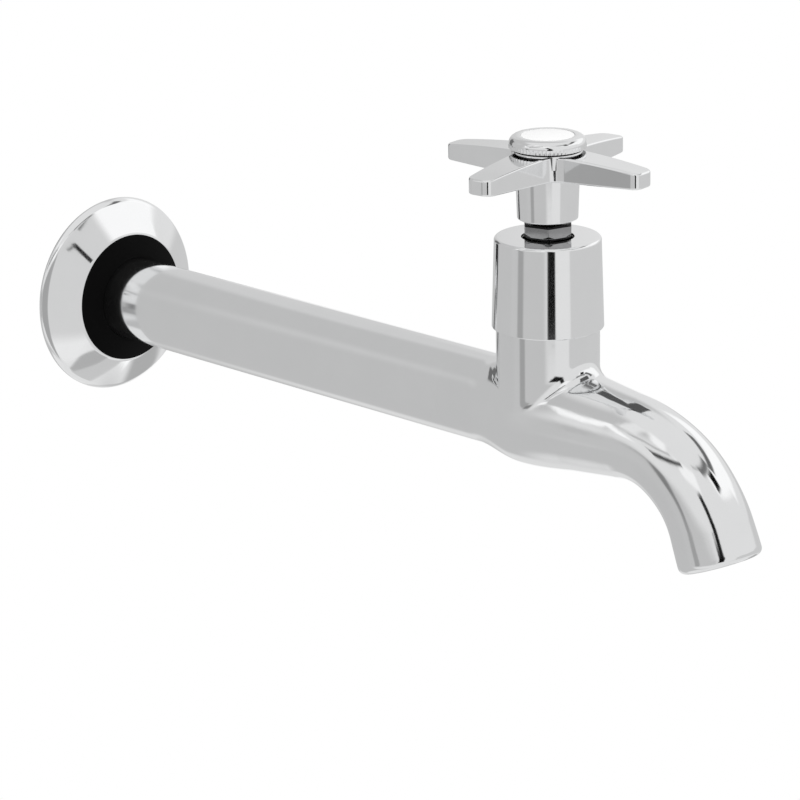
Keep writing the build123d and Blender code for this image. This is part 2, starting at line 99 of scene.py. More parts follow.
def combine(piece, operation, *others, creaseAngle=35):
    # union, difference or intersection, after which the other objects go
    for other in others:
        applyModifier(piece, "BOOLEAN", creaseAngle, object=other, operation=operation, solver="EXACT")
        bpy.data.objects.remove(other)


def evenNormals(piece):
    # flat faces keep flat reflections beside their rounded edges
    modifier = piece.modifiers.new("evenNormals", "WEIGHTED_NORMAL")
    modifier.keep_sharp = True
    modifier.weight = 80


def roundOff(bm, geom, size, segments, affect="VERTICES", clamp=False):
    # an arc in place of each corner or edge
    bmesh.ops.bevel(bm, geom=geom, offset=size * mm, offset_type="OFFSET", segments=segments, profile=0.5,
                    affect=affect, clamp_overlap=clamp, material=-1)


def drawProfile(bm, points, placed, closed):
    # a line through (along, radius, rounding) points, with its corners rounded
    verts = [bm.verts.new(placed(along * mm, radius * mm)) for along, radius, rounding in points]
    pairs = list(zip(verts, verts[1:])) + ([(verts[-1], verts[0])] if closed else [])
    for first, second in pairs:
        bm.edges.new((first, second))
    for vert, (_, _, rounding) in zip(verts, points):
        if rounding:
            roundOff(bm, [vert], rounding, segments=6)


def turned(points, axis, steps=144, closed=False):
    # a lathe-turned shape about the barrel's or the spindle's axis
    bm = bmesh.new()
    if axis is barrelAxis:
        centre = Vector((0, 0, 0))
        drawProfile(bm, points, lambda along, radius: (along, 0, radius), closed)
    else:
        centre = Vector((spindleX * mm, 0, 0))
        drawProfile(bm, points, lambda along, radius: (spindleX * mm + radius, 0, along), closed)
    bmesh.ops.spin(bm, geom=bm.verts[:] + bm.edges[:], cent=centre, axis=axis, angle=2 * math.pi,
                   steps=steps, use_merge=True)
    bmesh.ops.remove_doubles(bm, verts=bm.verts, dist=weld)
    return bm


def plainTurning(name, corners, steps=60, closed=False):
    # a sharp-cornered shape about the spindle, to cut or join with
    points = [(level, radius, 0) for level, radius in corners]
    return makeObject(name, turned(points, spindleAxis, steps, closed))


def onSpindle(level):
    return Matrix.Translation((spindleX * mm, 0, level * mm))


def addBar(bm, radius, length, segments, middle):
    bmesh.ops.create_cone(bm, cap_ends=True, segments=segments, radius1=radius * mm, radius2=radius * mm,
                          depth=length * mm, matrix=middle)


def cutAcross(bm, point, outward, clear=False):
    # splits the faces at a plane, and returns what lies in it
    geom = bm.verts[:] + bm.edges[:] + bm.faces[:]
    return bmesh.ops.bisect_plane(bm, geom=geom, plane_co=Vector(point) * mm, plane_no=outward,
                                  clear_outer=clear)["geom_cut"]


def ease(values, start, end):
    # from none at the start to all at the end, with soft ends
    share = np.clip((values - start) / (end - start), 0, 1)
    return share * share * (3 - 2 * share)


# shared ways with nodes

def feed(tree, node, inputs):
    # each input gets a plain value, or is wired to the output given for it
    for key, value in inputs.items():
        if isinstance(value, bpy.types.NodeSocket):
            tree.links.new(value, node.inputs[key])
        else:
            node.inputs[key].default_value = value


def addNode(tree, kind, inputs, **settings):
    node = tree.nodes.new(kind)
    for key, value in settings.items():
        setattr(node, key, value)
    feed(tree, node, inputs)
    return node


def workOut(tree, operation, *inputs):
    return addNode(tree, "ShaderNodeMath", dict(enumerate(inputs)), operation=operation).outputs[0]


def mixColours(tree, share, first, second):
    mix = addNode(tree, "ShaderNodeMix", {"Factor": share, "A": first, "B": second}, data_type="RGBA")
    return mix.outputs["Result"]


def newMaterial(name):
    material = bpy.data.materials.new(name)
    material.use_nodes = True
    return material, material.node_tree


# the effect that the metals share: handling marks, and bands of painted shade

handling = {
    "cloudDetail": 4, "cloudGrain": 0.62, "cloudFrom": 0.35, "cloudTo": 0.75,
    "dropScale": 210, "dropEdge": 0.16, "dropInside": 0.11,
    "hairTurn": (0.4, 0.7, 0.3), "hairStretch": (40, 900, 900), "hairDetail": 2,
}
handlingAmounts = ("cloudScale", "cleanRoughness", "cloudRoughness", "dropAmount", "hairlineAmount")


def buildHandlingAndShadeGroup(values):
    # cloudiness, dried drops and hairlines, as roughness, height and a tint mask, and a mask of painted shade
    # where parts meet
    group = bpy.data.node_groups.new("handlingAndShade", "ShaderNodeTree")
    for name in handlingAmounts + ("firstLevel", "firstHalf", "secondLevel", "secondHalf"):
        group.interface.new_socket(name=name, in_out="INPUT", socket_type="NodeSocketFloat")
    for name in ("roughness", "tint", "height", "paintedShade"):
        group.interface.new_socket(name=name, in_out="OUTPUT", socket_type="NodeSocketFloat")
    given = addNode(group, "NodeGroupInput", {}).outputs
    place = addNode(group, "ShaderNodeTexCoord", {}).outputs["Object"]

    cloud = addNode(group, "ShaderNodeTexNoise", {
        "Vector": place, "Scale": given["cloudScale"], "Detail": values["cloudDetail"],
        "Roughness": values["cloudGrain"]}).outputs["Fac"]
    clouded = addNode(group, "ShaderNodeMapRange", {
        "Value": cloud, "From Min": values["cloudFrom"], "From Max": values["cloudTo"]}).outputs["Result"]

    drops = addNode(group, "ShaderNodeTexVoronoi", {"Vector": place, "Scale": values["dropScale"]})
    dropped = addNode(group, "ShaderNodeMapRange", {
        "Value": drops.outputs["Distance"], "From Min": values["dropEdge"],
        "From Max": values["dropInside"]}).outputs["Result"]

    stretch = addNode(group, "ShaderNodeMapping", {
        "Vector": place, "Rotation": values["hairTurn"], "Scale": values["hairStretch"]})
    hairs = addNode(group, "ShaderNodeTexNoise", {
        "Vector": stretch.outputs["Vector"], "Scale": 1, "Detail": values["hairDetail"]}).outputs["Fac"]

    roughness = given["cleanRoughness"]
    for mark, amount in ((clouded, "cloudRoughness"), (dropped, "dropAmount"), (hairs, "hairlineAmount")):
        share = workOut(group, "MULTIPLY", mark, given[amount])
        roughness = workOut(group, "ADD", roughness, share)

    # one or two narrow levels darkened as painted shade, for the shadow where parts meet
    level = addNode(group, "ShaderNodeSeparateXYZ", {"Vector": place}).outputs["Z"]
    shadeMasks = [workOut(group, "COMPARE", level, given[which + "Level"], given[which + "Half"])
             for which in ("first", "second")]
    addNode(group, "NodeGroupOutput", {
        "roughness": roughness, "tint": clouded, "height": cloud,
        "paintedShade": workOut(group, "MAXIMUM", *shadeMasks)})
    return group


handlingAndShade = buildHandlingAndShadeGroup(handling)


def coverSurface(tree, look, colour, roughness, height):
    # the varied colour and roughness of a finish, and its fine relief
    bump = addNode(tree, "ShaderNodeBump", {
        "Strength": look["bumpStrength"], "Distance": look["bumpDepth"] * mm, "Height": height})
    feed(tree, tree.nodes["Principled BSDF"], {
        "Base Color": colour, "Roughness": roughness, "Normal": bump.outputs["Normal"]})


def metalFinish(name, look):
    # a metal whose colour runs between two tints and whose roughness comes from the shared effect
    material, tree = newMaterial(name)
    tree.nodes["Principled BSDF"].inputs["Metallic"].default_value = 1
    effect = addNode(tree, "ShaderNodeGroup", {}, node_tree=handlingAndShade)
    feed(tree, effect, {key: look[key] for key in handlingAmounts})
    colour = mixColours(tree, effect.outputs["tint"], (*look["colour"], 1), (*look["dulledColour"], 1))
    # painted shade: bands at the given levels take the near-black shade colour, standing in for shadow
    if "paintedShade" in look:
        shadeBands = {"first": look["paintedShade"], "second": look.get("second", look["paintedShade"])}
        for which, (level, half) in shadeBands.items():
            feed(tree, effect, {which + "Level": level * mm, which + "Half": half * mm})
        colour = mixColours(tree, effect.outputs["paintedShade"], colour, (*look["paintedShadeColour"], 1))
    coverSurface(tree, look, colour, effect.outputs["roughness"], effect.outputs["height"])
    return material


plated = {
    "colour": (0.93, 0.935, 0.94), "dulledColour": (0.90, 0.905, 0.91), "dropAmount": 0.02,
    "hairlineAmount": 0.03, "bumpStrength": 0.25, "bumpDepth": 0.01}
castChrome = metalFinish("castChrome", {
    **plated, "cloudScale": 45, "cleanRoughness": 0.05, "cloudRoughness": 0.035, "hairlineAmount": 0.02,
    "bumpDepth": 0.02})
tubeChrome = metalFinish("tubeChrome", {
    **plated, "dulledColour": (0.91, 0.915, 0.92), "cloudScale": 70, "cleanRoughness": 0.055,
    "cloudRoughness": 0.03, "bumpStrength": 0.15})
sheetChrome = metalFinish("sheetChrome", {
    **plated, "colour": (0.94, 0.945, 0.95), "dulledColour": (0.92, 0.925, 0.93), "cloudScale": 90,
    "cleanRoughness": 0.05, "cloudRoughness": 0.03, "bumpStrength": 0.15})
# its band at the cap's foot is darkened as painted shade for the shadow in the gap under the cap
handleChrome = metalFinish("handleChrome", {
    **plated, "cloudScale": 110, "cleanRoughness": 0.06, "cloudRoughness": 0.04, "paintedShade": (71.5, 0.3),
    "paintedShadeColour": (0.12, 0.12, 0.12)})
# a dark grey chrome, darkened as painted shade for the shadow the nut sits in, with near-black bands of
# painted shade at its foot and under the handle's skirt
nutChrome = metalFinish("nutChrome", {
    "colour": (0.42, 0.42, 0.425), "dulledColour": (0.33, 0.33, 0.335), "cloudScale": 160,
    "cleanRoughness": 0.1, "cloudRoughness": 0.1, "dropAmount": 0.02, "hairlineAmount": 0.08,
    "bumpStrength": 0.3, "bumpDepth": 0.02, "paintedShade": (48.5, 0.4), "second": (52.1, 0.55),
    "paintedShadeColour": (0.02, 0.02, 0.02)})
brass = {
    "colour": (0.72, 0.55, 0.28), "dulledColour": (0.55, 0.40, 0.20), "cloudScale": 120,
    "cleanRoughness": 0.22, "cloudRoughness": 0.15, "dropAmount": 0.05, "hairlineAmount": 0.1,
    "bumpStrength": 0.3, "bumpDepth": 0.02}
bareBrass = metalFinish("bareBrass", brass)
# brass with a near-black band of painted shade from 46.2 to 53.2 mm up, for the shadow between the shroud and
# the handle
brassWithPaintedShade = metalFinish("brassWithPaintedShade", {
    **brass, "paintedShade": (49.7, 3.5), "paintedShadeColour": (0.03, 0.027, 0.022)})
turnedSteel = metalFinish("turnedSteel", {
    "colour": (0.56, 0.56, 0.56), "dulledColour": (0.45, 0.45, 0.45), "cloudScale": 200,
    "cleanRoughness": 0.25, "cloudRoughness": 0.1, "dropAmount": 0.02, "hairlineAmount": 0.1,
    "bumpStrength": 0.3, "bumpDepth": 0.02})


def softFinish(name, look):
    # rubber, fibre and plastic: a mottled colour with a fine moulded grain
    material, tree = newMaterial(name)
    tree.nodes["Principled BSDF"].inputs["Specular IOR Level"].default_value = look["specular"]
    place = addNode(tree, "ShaderNodeTexCoord", {}).outputs["Object"]
    grain = addNode(tree, "ShaderNodeTexNoise", {
        "Vector": place, "Scale": look["grainScale"], "Detail": 5}).outputs["Fac"]
    colour = mixColours(tree, grain, (*look["colour"], 1), (*look["paleColour"], 1))
    gloss = addNode(tree, "ShaderNodeMapRange", {
        "Value": grain, "To Min": look["roughness"] - look["roughnessSpread"],
        "To Max": look["roughness"] + look["roughnessSpread"]})
    coverSurface(tree, look, colour, gloss.outputs["Result"], grain)
    return material


blackRubber = softFinish("blackRubber", {
    "colour": (0.0015, 0.0015, 0.0015), "paleColour": (0.003, 0.003, 0.003), "specular": 0.04,
    "grainScale": 900, "roughness": 0.3, "roughnessSpread": 0.08, "bumpStrength": 0.3, "bumpDepth": 0.02})
redFibre = softFinish("redFibre", {
    "colour": (0.38, 0.07, 0.05), "paleColour": (0.5, 0.12, 0.08), "specular": 0.3, "grainScale": 1500,
    "roughness": 0.7, "roughnessSpread": 0.1, "bumpStrength": 0.5, "bumpDepth": 0.04})
greyPacking = softFinish("greyPacking", {
    "colour": (0.08, 0.08, 0.08), "paleColour": (0.15, 0.15, 0.15), "specular": 0.3, "grainScale": 1800,
    "roughness": 0.6, "roughnessSpread": 0.1, "bumpStrength": 0.6, "bumpDepth": 0.05})
whiteInlay = softFinish("whiteInlay", {
    "colour": (0.86, 0.86, 0.86), "paleColour": (0.9, 0.9, 0.9), "specular": 0.5, "grainScale": 500,
    "roughness": 0.12, "roughnessSpread": 0.03, "bumpStrength": 0.1, "bumpDepth": 0.01})


# the body casting: run, neck and spout

casting = {
    "barrelRadius": 12.0, "start": 146.0, "bellyX": 172.0, "throatX": 190.0, "throatRise": 0.55,
    "spoutSlope": 1.0, "spoutRun": 15.0, "bendRadius": 30.4, "bendAngle": 67.4, "noseLength": 8.76,
    "swellFrom": 10.5, "bellyRadius": 14.2, "waistRadius": 10.5, "outletRadius": 11.0,
    "waistAfterBelly": 46.5, "flareAfterBelly": 58.0, "lipRound": 1.9, "lipReach": 25.0,
    "neckRadius": 13.56, "neckTop": 28.0, "neckSpare": 6.0, "neckSteps": 96, "rootFillet": 4.0,
    "cornerLimits": (-0.6, 0.995), "lineLead": 10.0, "lineStep": 0.4, "ringEvery": 6, "meshStep": 0.62,
    "settleRounds": 5, "settleStride": 0.8, "leastSlope": 0.2,
}


def straight(x, z, heading, distances):
    # rows of (x, z, heading) on a straight run, at distances from where it starts
    return [(x + along * math.cos(heading), z + along * math.sin(heading), heading) for along in distances]


def runLine(values):
    # the line that the casting follows, as rows of (x, z, heading, distance), and the place of its end
    step, rise, slope = values["lineStep"], values["throatRise"], math.radians(values["spoutSlope"])
    x0, span = values["bellyX"], values["throatX"] - values["bellyX"]
    rows = [(x, 0.0, 0.0) for x in np.arange(values["start"] - values["lineLead"], x0, step)]
    endFall = -math.tan(slope) * span
    for t in np.arange(0, 1, step / span):
        # a smooth rise over the belly that ends falling at the spout's slope
        z = rise * (t * t * (3 - 2 * t)) + endFall * (t * t * t - t * t)
        steep = rise * (6 * t * (1 - t)) + endFall * (3 * t * t - 2 * t)
        rows.append((x0 + span * t, z, math.atan2(steep, span)))
    x, z = values["throatX"], rise
    rows += straight(x, z, -slope, np.arange(0, values["spoutRun"], step))
    x, z, heading = straight(x, z, -slope, [values["spoutRun"]])[0]
    bend, radius = math.radians(values["bendAngle"]), values["bendRadius"]
    middleX, middleZ = x - radius * math.sin(slope), z - radius * math.cos(slope)
    for turn in np.arange(0, bend, step / radius):
        angle = slope + turn
        rows.append((middleX + radius * math.sin(angle), middleZ + radius * math.cos(angle), -angle))
    last = slope + bend
    x, z = middleX + radius * math.sin(last), middleZ + radius * math.cos(last)
    rows += straight(x, z, -last, np.arange(0, values["noseLength"] + step / 2, step))
    line = np.array(rows)
    lengths = np.hypot(np.diff(line[:, 0]), np.diff(line[:, 1]))
    distance = np.concatenate([[0], np.cumsum(lengths)]) - values["lineLead"]
    return np.column_stack([line, distance]), straight(x, z, -last, [values["noseLength"]])[0]


def runRadius(values, distance, length):
    # radius of the casting at a distance along its line
    widest = values["bellyX"] - values["start"]
    belly, waist = values["bellyRadius"], values["waistRadius"]
    swell = (belly - values["barrelRadius"]) * ease(distance, values["swellFrom"], widest)
    narrow = (belly - waist) * ease(distance, widest, widest + values["waistAfterBelly"])
    flare = (values["outletRadius"] - waist) * ease(distance, widest + values["flareAfterBelly"], length)
    return values["barrelRadius"] + swell - narrow + flare


def ringAt(bm, row, radius, segments):
    # one ring across the line, and its edges
    x, z, heading = row[:3]
    turn = Matrix.Rotation(math.pi / 2 - heading, 4, "Y")
    made = bmesh.ops.create_circle(bm, segments=segments, radius=radius * mm,
                                   matrix=Matrix.Translation((x * mm, 0, z * mm)) @ turn)
    return list({edge for vert in made["verts"] for edge in vert.link_edges})


def tubeAlong(rows, radii, segments=64):
    # a closed tube through rings on the line
    bm = bmesh.new()
    rings = [ringAt(bm, row, radius, segments) for row, radius in zip(rows, radii)]
    for first, second in zip(rings, rings[1:]):
        bmesh.ops.bridge_loops(bm, edges=first + second)
    bmesh.ops.holes_fill(bm, edges=rings[0] + rings[-1], sides=0)
    return bm


def castingDistance(points, values, line, outlet):
    # signed distance in mm from the casting's skin: run, neck, the fillet between them and the lip
    tiny, farOff, batch = 1e-9, 1e3, 4000
    flat = points[:, [0, 2]]
    nearest = np.empty(len(points), int)
    for first in range(0, len(points), batch):
        gap = ((flat[first:first + batch, None, :] - line[None, :, :2]) ** 2).sum(2)
        nearest[first:first + batch] = gap.argmin(1)
    row = line[nearest]
    alongX, alongZ = np.cos(row[:, 2]), np.sin(row[:, 2])
    beyond = (flat[:, 0] - row[:, 0]) * alongX + (flat[:, 1] - row[:, 1]) * alongZ
    offX = flat[:, 0] - row[:, 0] - beyond * alongX
    offZ = flat[:, 1] - row[:, 1] - beyond * alongZ
    reach = np.sqrt(offX ** 2 + offZ ** 2 + points[:, 1] ** 2) + tiny
    run = reach - runRadius(values, row[:, 3] + beyond, line[-1, 3])
    neckX = points[:, 0] - spindleX
    neckReach = np.hypot(neckX, points[:, 1]) + tiny
    neck = neckReach - values["neckRadius"]
    # a ball rolled along the corner between the two skins
    ball = values["rootFillet"]
    facing = np.clip((offX * neckX + points[:, 1] ** 2) / (reach * neckReach), *values["cornerLimits"])
    u, v = ball - run, ball - neck
    inCorner = (u - facing * v > 0) & (v - facing * u > 0) & (points[:, 2] > 0)
    rolled = ball - np.sqrt(np.maximum(u * u + v * v - 2 * u * v * facing, 0) / (1 - facing ** 2))
    neckOnly = np.where(points[:, 2] > 0, neck, farOff)
    skin = np.where(inCorner, rolled, np.minimum(run, neckOnly))
    # the rounded lip at the end of the spout
    endX, endZ, heading = outlet
    pastEnd = (points[:, 0] - endX) * math.cos(heading) + (points[:, 2] - endZ) * math.sin(heading)
    near = np.hypot(points[:, 0] - endX, points[:, 2] - endZ) < values["lipReach"]
    lip = values["lipRound"]
    corner = np.hypot(np.maximum(lip + skin, 0), np.maximum(lip + pastEnd, 0))
    return np.where(near, np.minimum(-lip, np.maximum(skin, pastEnd)) + corner, skin)


def settleOnSkin(mesh, values, line, outlet):
    # moves every vertex along the steepest way onto the exact skin
    co = np.empty(len(mesh.vertices) * 3)
    mesh.vertices.foreach_get("co", co)
    points = co.reshape(-1, 3) / mm
    stride = values["settleStride"]
    for _ in range(values["settleRounds"]):
        here = castingDistance(points, values, line, outlet)
        slope = np.empty_like(points)
        for axis in range(3):
            moved = points.copy()
            moved[:, axis] += close
            slope[:, axis] = (castingDistance(moved, values, line, outlet) - here) / close
        steep = np.maximum((slope ** 2).sum(1), values["leastSlope"])
        points -= slope * np.clip(here / steep, -stride, stride)[:, None]
    mesh.vertices.foreach_set("co", (points * mm).ravel())
    mesh.update()
    return np.abs(castingDistance(points, values, line, outlet)).max()


def buildCasting(values):
    line, outlet = runLine(values)
    rows = line[::values["ringEvery"]]
    if tuple(rows[-1]) != tuple(line[-1]):
        rows = np.vstack([rows, line[-1]])
    bm = tubeAlong(rows, runRadius(values, rows[:, 3], line[-1, 3]))
    neckLength = values["neckTop"] + values["neckSpare"]
    addBar(bm, values["neckRadius"], neckLength, values["neckSteps"], onSpindle(neckLength / 2))
    piece = makeObject("bodyCasting", bm)
    applyModifier(piece, "REMESH", creaseAngle=60, mode="VOXEL", voxel_size=values["meshStep"] * mm)
    left = settleOnSkin(piece.data, values, line, outlet)
    print("casting settled, furthest vertex off by", round(float(left), 4), "mm")
    bm = bmesh.new()
    bm.from_mesh(piece.data)
    # flat ends against the barrel and under the headwork
    ends = (((values["start"], 0, 0), -barrelAxis), ((spindleX, 0, values["neckTop"]), spindleAxis))
    for point, outward in ends:
        cut = cutAcross(bm, point, outward, clear=True)
        rim = [item for item in cut if isinstance(item, bmesh.types.BMEdge)]
        bmesh.ops.holes_fill(bm, edges=rim, sides=0)
    bmesh.ops.recalc_face_normals(bm, faces=bm.faces)
    bm.to_mesh(piece.data)
    bm.free()
    return piece, line, outlet


waterway = {
    "mouthRadius": 8.4, "mouthDepth": 8.0, "beyondLip": 3.0, "boreRadius": 7.4, "boreSteps": 96,
    "ringEvery": 8, "deepest": 184.5, "portRadius": 4.0, "portLevel": 8.3, "portEnd": 188.5,
    "chamberRadius": 10.25, "chamberFloor": 4.0, "threadRadius": 7.05, "threadFoot": 2.0, "seatBore": 5.5,
    "passageRadius": 4.8, "passageLevel": -3.4, "passageEnd": 179.5, "inletBore": 8.5, "inletEnd": 161.0,
    "spigotStart": 134.0, "spigotRadius": 10.45, "grooveRadius": 12.43, "grooveFoot": 25.55,
    "grooveTop": 26.85, "grooveSteps": 144,
}


def barAlong(name, start, end, radius, level=0.0, segments=64):
    # a round bar that runs with the barrel
    bm = bmesh.new()
    middle = Matrix.Translation(((start + end) / 2 * mm, 0, level * mm))
    addBar(bm, radius, end - start, segments, middle @ Matrix.Rotation(math.pi / 2, 4, "Y"))
    return makeObject(name, bm)


def cutWaterway(piece, values, shape, line, outlet):
    # the inlet, the valve chamber over its seat, and the spout's bore with the wider mouth for an insert
    mouth, boreEnd = values["mouthDepth"], line[-1, 3] - values["mouthDepth"] - past
    inner = line[line[:, 0] > values["deepest"]][::values["ringEvery"]]
    rows = [tuple(row[:3]) for row in inner if row[3] < boreEnd]
    rows += straight(*outlet, [-mouth - close, -mouth, values["beyondLip"]])
    radii = [values["boreRadius"]] * (len(rows) - 2) + [values["mouthRadius"]] * 2
    seat, thread, chamber = values["seatBore"], values["threadRadius"], values["chamberRadius"]
    foot, floor, top = values["threadFoot"], values["chamberFloor"], shape["neckTop"] + past
    level, passageRadius = values["passageLevel"], values["passageRadius"]
    cutter = makeObject("waterCutter", tubeAlong(rows, radii, values["boreSteps"]))
    combine(
        cutter, "UNION",
        barAlong("portCutter", spindleX, values["portEnd"], values["portRadius"], values["portLevel"]),
        plainTurning("chamberCutter", [
            (level, 0), (level, seat), (foot, seat), (foot, thread), (floor, thread), (floor, chamber),
            (top, chamber), (top, 0)], steps=96),
        barAlong("passageCutter", values["inletEnd"] - past, values["passageEnd"], passageRadius, level),
        barAlong("inletCutter", values["spigotStart"] - past, values["inletEnd"], values["inletBore"]))
    combine(piece, "UNION",
            barAlong("spigot", values["spigotStart"], shape["start"] + past, values["spigotRadius"]))
    # the groove for the rubber ring that holds the shroud
    inside, outside = values["grooveRadius"], 2 * shape["neckRadius"]
    groove = plainTurning("grooveCutter", [
        (values["grooveFoot"], inside), (values["grooveFoot"], outside),
        (values["grooveTop"], outside), (values["grooveTop"], inside)],
        steps=values["grooveSteps"], closed=True)
    combine(piece, "DIFFERENCE", cutter, groove, creaseAngle=40)


bodyCasting, castingLine, castingOutlet = buildCasting(casting)
cutWaterway(bodyCasting, waterway, casting, castingLine, castingOutlet)
dress(bodyCasting, "body", castChrome, "tap_body")

# barrel and inlet tail

barrel = {"start": 2.5, "end": 146.0, "radius": 12.0, "bore": 10.5, "edge": 0.25}
barrelTube = makeObject("barrelTube", turned([
    (barrel["start"], barrel["bore"], 0),
    (barrel["start"], barrel["radius"], barrel["edge"]),
    (barrel["end"], barrel["radius"], 0),
    (barrel["end"], barrel["bore"], 0)], barrelAxis, closed=True))
dress(barrelTube, "body", tubeChrome, "barrel_tube")

tail = {
    "length": 15.0, "threadRadius": 10.4775, "threadDepth": 1.16, "pitch": 1.814, "threadEnd": -1.6,
    "toothFlank": 2.36, "runOut": 1.2, "leadIn": 1.0, "leadSlope": 1.2, "bore": 7.5, "collarRadius": 11.6,
    "collarLength": 2.5, "collarEdge": 0.2, "spigotRadius": 10.45, "spigotEnd": 14.5, "spigotEdge": 0.3,
    "rowStep": 0.12, "steps": 120,
}


def buildTail(values):
    outer, collar, spigot = values["threadRadius"], values["collarRadius"], values["spigotRadius"]
    points = [(-values["length"], values["bore"], 0)]
    points += [(float(x), outer, 0) for x in np.arange(-values["length"], 0, values["rowStep"])]
    points += [(0, outer, 0), (0, collar, values["collarEdge"]),
               (values["collarLength"], collar, values["collarEdge"]), (values["collarLength"], spigot, 0),
               (values["spigotEnd"], spigot, values["spigotEdge"]),
               (values["spigotEnd"], values["bore"], values["spigotEdge"])]
    bm = turned(points, barrelAxis, steps=values["steps"], closed=True)
    # the pipe thread is cut into the outside of the tail
    for vert in bm.verts:
        x, y, z = (c / mm for c in vert.co)
        radius = math.hypot(y, z)
        if x > -close or radius < outer - close:
            continue
        phase = (x / values["pitch"] - math.atan2(z, y) / (2 * math.pi)) % 1
        tooth = max(0.0, min(1.0, values["toothFlank"] * (0.5 - abs(phase - 0.5))))
        runOut = min(1, max(0, (values["threadEnd"] - x) / values["runOut"]))
        cone = max(0, values["leadIn"] - (x + values["length"])) * values["leadSlope"]
        wanted = min(outer - values["threadDepth"] * (1 - tooth) * runOut, outer - cone)
        vert.co.y *= wanted / radius
        vert.co.z *= wanted / radius
    return makeObject("inletTail", bm, creaseAngle=60)


dress(buildTail(tail), "body", bareBrass, "inlet_tail")

# wall flange and its rubber ring

flange = {
    "radius": 28.8, "backRadius": 27.3, "backRound": 0.4, "rim": 1.3, "rimRound": 0.7, "rollEnd": 2.9,
    "rollRadius": 27.9, "rollRound": 0.9, "height": 8.4, "mouth": 18.8, "mouthRound": 0.7, "lip": 17.2,
    "lipRound": 0.2, "sheet": 1.0, "hollowMouth": 18.5, "hollowRound": 0.4, "hollowRim": 1.7,
    "hollowRadius": 27.1, "hollowRimRound": 0.3, "hollowBack": 26.3, "steps": 192,
}
flangeInside = flange["height"] - flange["sheet"]
wallFlange = makeObject("wallFlange", turned([
    (0, flange["backRadius"], flange["backRound"]),
    (flange["rim"], flange["radius"], flange["rimRound"]),
    (flange["rollEnd"], flange["rollRadius"], flange["rollRound"]),
    (flange["height"], flange["mouth"], flange["mouthRound"]),
    (flange["height"], flange["lip"], flange["lipRound"]),
    (flangeInside, flange["lip"], 0),
    (flangeInside, flange["hollowMouth"], flange["hollowRound"]),
    (flange["hollowRim"], flange["hollowRadius"], flange["hollowRimRound"]),
    (0, flange["hollowBack"], 0)], barrelAxis, steps=flange["steps"], closed=True), creaseAngle=40)
dress(wallFlange, "flange", sheetChrome, "wall_flange")

seal = {
    "bore": 12.05, "back": 2.4, "backRadius": 18.2, "backRound": 0.3, "grip": 17.15, "front": 8.7,
    "frontRadius": 18.6, "frontRound": 0.2, "lipFront": 10.2, "lipRadius": 12.85, "lipRound": 0.35,
}
sealRing = makeObject("sealRing", turned([
    (seal["back"], seal["bore"], 0),
    (seal["back"], seal["backRadius"], seal["backRound"]),
    (flangeInside, seal["backRadius"], 0),
    (flangeInside, seal["grip"], 0),
    (flange["height"], seal["grip"], 0),
    (flange["height"], seal["frontRadius"], 0),
    (seal["front"], seal["frontRadius"], seal["frontRound"]),
    (seal["lipFront"], seal["lipRadius"], seal["lipRound"]),
    (seal["lipFront"], seal["bore"], 0)], barrelAxis, closed=True), creaseAngle=40)
dress(sealRing, "flange", blackRubber, "flange_seal")

# shroud over the headwork

shroud = {
    "foot": 24.2, "top": 48.2, "footRadius": 14.65, "topRadius": 13.94, "wall": 0.89, "hole": 6.9,
    "topEdge": 0.8, "footEdge": 0.3, "sheetEdge": 0.1, "insideRound": 0.3, "steps": 192,
}
shroudInside = shroud["top"] - shroud["wall"]
shroudCup = makeObject("shroudCup", turned([
    (shroud["foot"], shroud["footRadius"] - shroud["wall"], shroud["sheetEdge"]),
    (shroud["foot"], shroud["footRadius"], shroud["footEdge"]),
    (shroud["top"], shroud["topRadius"], shroud["topEdge"]),
    (shroud["top"], shroud["hole"], shroud["sheetEdge"]),
    (shroudInside, shroud["hole"], 0),
    (shroudInside, shroud["topRadius"] - shroud["wall"], shroud["insideRound"])],
    spindleAxis, steps=shroud["steps"], closed=True), creaseAngle=40)
dress(shroudCup, "body", sheetChrome, "shroud")
evenNormals(shroudCup)

# gland nut

glandNut = {
    "foot": 46.92, "top": 52.2, "waist": 49.0, "across": 12.0, "chamfer": 0.7, "turn": 45.0, "bore": 3.82,
    "plugFoot": 45.21, "plugRadius": 5.2, "plugSpare": 0.5, "edge": 0.3, "turnedEdge": 0.1, "topEdge": 0.15,
    "steps": 120,
}


def buildGlandNut(values):
    bottom, top, waist, edge = values["foot"], values["top"], values["waist"], values["turnedEdge"]
    plugFoot, plug, chamfer = values["plugFoot"], values["plugRadius"], values["chamfer"]
    corner = values["across"] / math.sqrt(3)
    bm = bmesh.new()
    height = top - bottom
    turn = Matrix.Rotation(math.radians(values["turn"]), 4, "Z")
    addBar(bm, corner, height, 6, onSpindle(bottom + height / 2) @ turn)
    upright = [side for side in bm.edges if abs((side.verts[0].co - side.verts[1].co).z) > mm]
    roundOff(bm, upright, values["edge"], segments=3, affect="EDGES")
    nut = makeObject("glandNut", bm)
    slim, wide = corner - chamfer, corner + chamfer
    turning = makeObject("nutTurning", turned([
        (plugFoot, values["bore"], edge), (plugFoot, plug, edge), (bottom, plug, 0), (bottom, slim, edge),
        (waist, slim, edge), (waist + 2 * chamfer, wide, 0), (top - 2 * chamfer, wide, 0),
        (top, slim, values["topEdge"]), (top, values["bore"], edge)],
        spindleAxis, steps=values["steps"], closed=True))
    # the plug lies below the hexagon, so the hexagon gets a round foot before the two are crossed
    low, high, wide = plugFoot - past, bottom + values["plugSpare"], plug + values["plugSpare"]
    combine(nut, "UNION", plainTurning("nutPlug", [(low, 0), (low, wide), (high, wide), (high, 0)]))
    combine(nut, "INTERSECT", turning, creaseAngle=25)
    return nut


nutPiece = buildGlandNut(glandNut)
dress(nutPiece, "body", nutChrome, "gland_nut")
evenNormals(nutPiece)

# star handle

